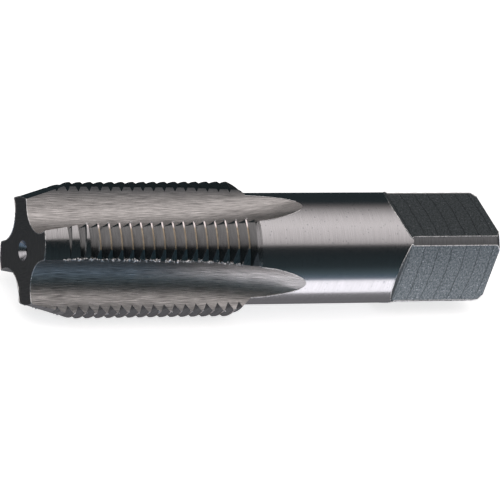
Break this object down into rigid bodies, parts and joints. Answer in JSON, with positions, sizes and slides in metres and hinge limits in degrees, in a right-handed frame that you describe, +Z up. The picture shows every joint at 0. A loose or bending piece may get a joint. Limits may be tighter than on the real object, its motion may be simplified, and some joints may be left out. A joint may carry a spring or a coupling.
{
  "type": "thread tap",
  "caption": "Straight-flute hand tap that cuts an internal pipe thread, with a tapered starting chamfer, round shank and square drive.",
  "frame": {"origin": "centre of the box's base, under the middle of the tap, on the surface that it lies on", "axes": "+X along the tap's axis, from the cutting end towards the square; +Z up, with one flute and one flat of the square facing up, but for the 4.48 degree roll at which the tap lies on two of its lands"},
  "size_m": [0.0794, 0.0182, 0.0182],
  "materials": {
    "tool_steel": "ground high-speed steel: bright flutes, lands and shank, darker milled square and end face"
  },
  "bodies": {
    "root": {"thread_tap": "tool_steel"}
  },
  "joints": []
}
